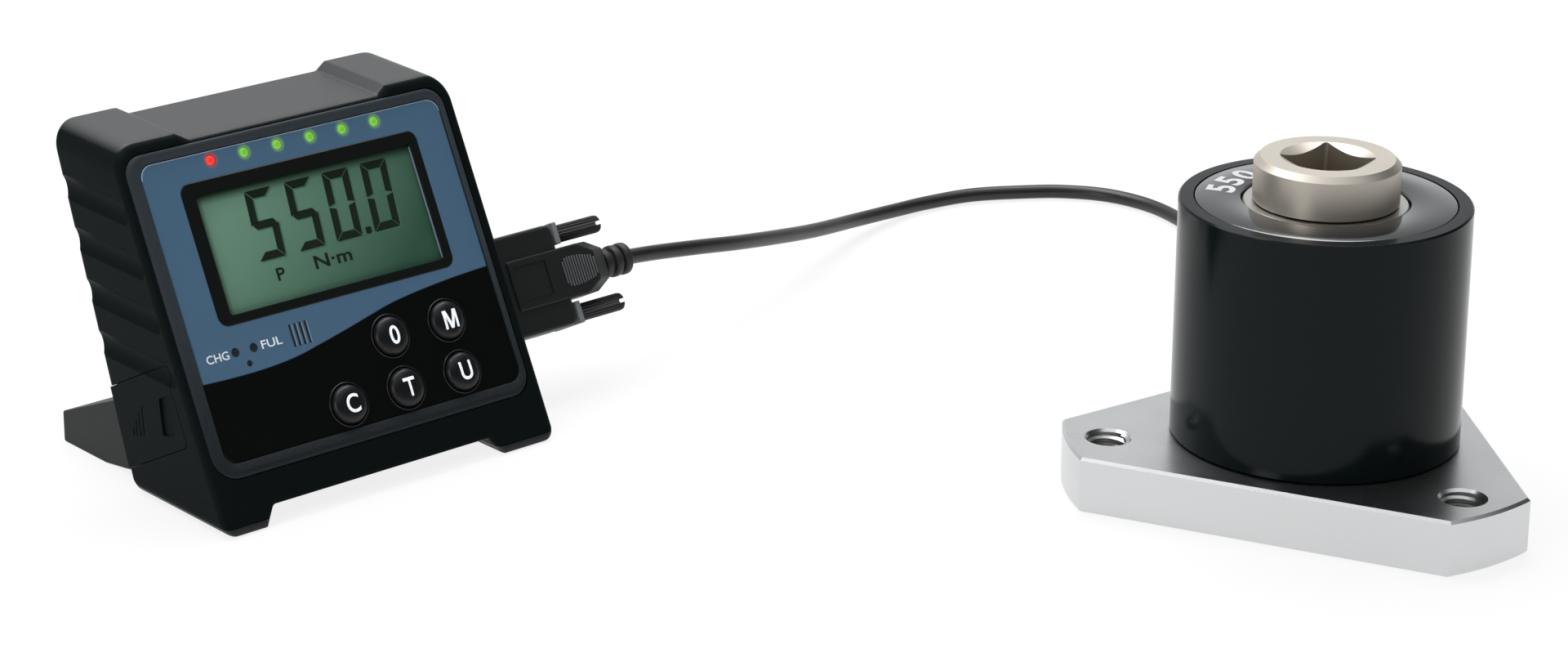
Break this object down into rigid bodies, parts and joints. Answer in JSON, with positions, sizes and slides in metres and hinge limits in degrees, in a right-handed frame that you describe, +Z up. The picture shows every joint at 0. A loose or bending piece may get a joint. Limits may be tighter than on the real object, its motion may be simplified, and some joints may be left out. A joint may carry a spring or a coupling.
{
  "type": "electronic torque tester",
  "caption": "Desk torque tester: a leaning digital display with buttons and lamps, cabled to a round reaction torque sensor with a square drive on a flanged base.",
  "frame": {"origin": "centre of the torque sensor's underside, on the table", "axes": "+Z up along the drive's axis; the display stands to the -X side and faces -Y; +X runs from the display towards the sensor"},
  "size_m": [0.4074, 0.3332, 0.1022],
  "materials": {
    "black_plastic": "fine moulded texture, satin black",
    "black_rubber": "matt black rubber",
    "cable_jacket": "smooth black cable jacket",
    "panel_blue": "matt printed slate-blue panel with a black lower field",
    "window": "clear window with a dark border",
    "lcd": "grey-green liquid crystal",
    "lamp_red": "red lamp lens",
    "lamp_green": "green lamp lens",
    "board_green": "green circuit board",
    "pack_wrap": "blue shrink-wrapped cells",
    "steel": "brushed steel",
    "plate_steel": "milled and brushed steel",
    "nickel": "bright plated steel",
    "grey_plastic": "light grey plastic",
    "anodised_black": "gloss black anodised aluminium",
    "warm_steel": "turned steel with a warm grey-brown finish"
  },
  "bodies": {
    "tester": {"front_bezel": "black_plastic", "rear_shell": "black_plastic", "buzzer": "black_plastic", "foot_strip_left": "black_rubber", "foot_strip_right": "black_rubber", "overlay_panel": "panel_blue", "lcd_window": "window", "lcd_panel": "lcd", "led_red": "lamp_red", "charge_lamp": "lamp_red", "full_lamp": "lamp_green", "main_board": "board_green", "gauge_board": "board_green", "battery_pack": "pack_wrap", "dsub_socket": "nickel", "plug_shell": "nickel", "plug_hood_front": "black_plastic", "plug_hood_back": "black_plastic", "thumb_ring_upper": "grey_plastic", "thumb_ring_lower": "grey_plastic", "cable_boot": "black_rubber", "cable": "cable_jacket", "cable_gland": "black_plastic", "base_plate": "plate_steel", "sensor_housing": "anodised_black", "top_cover": "anodised_black", "transducer_shaft": "nickel", "drive_socket": "warm_steel", "led_green_1": "lamp_green", "led_green_2": "lamp_green", "led_green_3": "lamp_green", "led_green_4": "lamp_green", "led_green_5": "lamp_green", "case_screw_1": "steel", "base_screw_1": "steel", "case_screw_2": "steel", "base_screw_2": "steel", "case_screw_3": "steel", "base_screw_3": "steel", "case_screw_4": "steel", "base_screw_4": "steel"},
    "button_clear_body": {"button_clear": "black_rubber"},
    "button_track_body": {"button_track": "black_rubber"},
    "button_unit_body": {"button_unit": "black_rubber"},
    "button_zero_body": {"button_zero": "black_rubber"},
    "button_memory_body": {"button_memory": "black_rubber"},
    "battery_door_body": {"battery_door": "black_plastic"},
    "thumbscrew_upper_body": {"thumbscrew_upper": "black_plastic"},
    "thumbscrew_lower_body": {"thumbscrew_lower": "black_plastic"}
  },
  "joints": [
    {"name": "press_clear", "type": "slide", "parent": "tester", "child": "button_clear_body", "axis": [0, 0.891, -0.454], "range_m": [0, 0.0008], "stiffness_N_per_m": 400},
    {"name": "press_track", "type": "slide", "parent": "tester", "child": "button_track_body", "axis": [0, 0.891, -0.454], "range_m": [0, 0.0008], "stiffness_N_per_m": 400},
    {"name": "press_unit", "type": "slide", "parent": "tester", "child": "button_unit_body", "axis": [0, 0.891, -0.454], "range_m": [0, 0.0008], "stiffness_N_per_m": 400},
    {"name": "press_zero", "type": "slide", "parent": "tester", "child": "button_zero_body", "axis": [0, 0.891, -0.454], "range_m": [0, 0.0008], "stiffness_N_per_m": 400},
    {"name": "press_memory", "type": "slide", "parent": "tester", "child": "button_memory_body", "axis": [0, 0.891, -0.454], "range_m": [0, 0.0008], "stiffness_N_per_m": 400},
    {"name": "battery_door_slide", "type": "slide", "parent": "tester", "child": "battery_door_body", "axis": [0, 0.891, -0.454], "range_m": [0, 0.012]},
    {"name": "thumbscrew_upper_turn", "type": "hinge", "parent": "tester", "child": "thumbscrew_upper_body", "pos_m": [-0.1061, 0.21318, 0.04402], "axis": [1, 0, 0], "continuous": true},
    {"name": "thumbscrew_lower_turn", "type": "hinge", "parent": "tester", "child": "thumbscrew_lower_body", "pos_m": [-0.1061, 0.20183, 0.02175], "axis": [1, 0, 0], "continuous": true}
  ]
}
